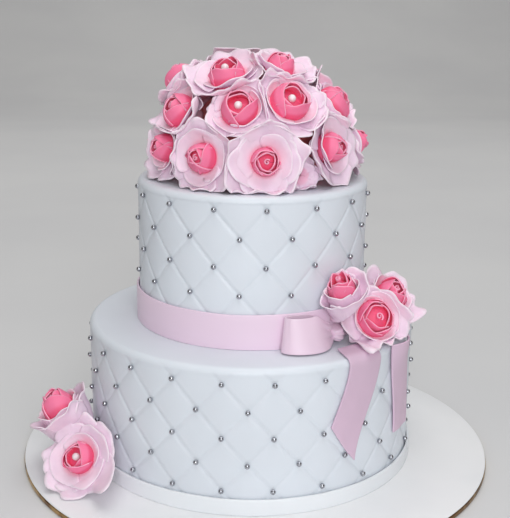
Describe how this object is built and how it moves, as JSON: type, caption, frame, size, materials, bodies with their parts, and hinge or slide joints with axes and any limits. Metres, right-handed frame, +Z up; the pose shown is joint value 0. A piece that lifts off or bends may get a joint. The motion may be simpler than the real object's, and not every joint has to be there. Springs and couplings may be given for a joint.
{
  "type": "tiered wedding cake",
  "caption": "Two-tier round wedding cake on its board: quilted white icing with silver balls, pink ribbon and bow, and a dome of sugar roses on top.",
  "frame": {"origin": "middle of the round board's underside, where it rests on a table", "axes": "+Z up through the board's middle, front of the cake facing -Y, +X to the right seen from the front"},
  "size_m": [0.386, 0.386, 0.3316],
  "materials": {
    "board_gold": "foil-faced cut edge",
    "board_white": "satin white wrap",
    "quilted_icing": "satin rolled icing with silver sugar balls",
    "band_icing": "satin rolled icing",
    "core_icing": "dull dusky pink sugar paste",
    "rose_sugar": "matte sugar paste, pale outer petals and deep pink hearts",
    "ribbon_icing": "satin pale pink rolled icing"
  },
  "bodies": {
    "root": {"board_core": "board_gold", "board_cover": "board_white", "bow_knot": "ribbon_icing", "bow_loop": "ribbon_icing", "bow_rose_01": "rose_sugar", "bow_rose_02": "rose_sugar", "bow_rose_03": "rose_sugar", "dome_core": "core_icing", "dome_rose_01": "rose_sugar", "dome_rose_02": "rose_sugar", "dome_rose_03": "rose_sugar", "dome_rose_04": "rose_sugar", "dome_rose_05": "rose_sugar", "dome_rose_06": "rose_sugar", "dome_rose_07": "rose_sugar", "dome_rose_08": "rose_sugar", "dome_rose_09": "rose_sugar", "dome_rose_10": "rose_sugar", "dome_rose_11": "rose_sugar", "dome_rose_12": "rose_sugar", "dome_rose_13": "rose_sugar", "dome_rose_14": "rose_sugar", "dome_rose_15": "rose_sugar", "dome_rose_16": "rose_sugar", "dome_rose_17": "rose_sugar", "dome_rose_18": "rose_sugar", "dome_rose_19": "rose_sugar", "dome_rose_20": "rose_sugar", "dome_rose_21": "rose_sugar", "dome_rose_22": "rose_sugar", "dome_rose_23": "rose_sugar", "foot_band": "band_icing", "foot_rose_01": "rose_sugar", "foot_rose_02": "rose_sugar", "lower_tier": "quilted_icing", "ribbon_band": "ribbon_icing", "tail_slanted": "ribbon_icing", "tail_square": "ribbon_icing", "upper_tier": "quilted_icing"}
  },
  "joints": []
}
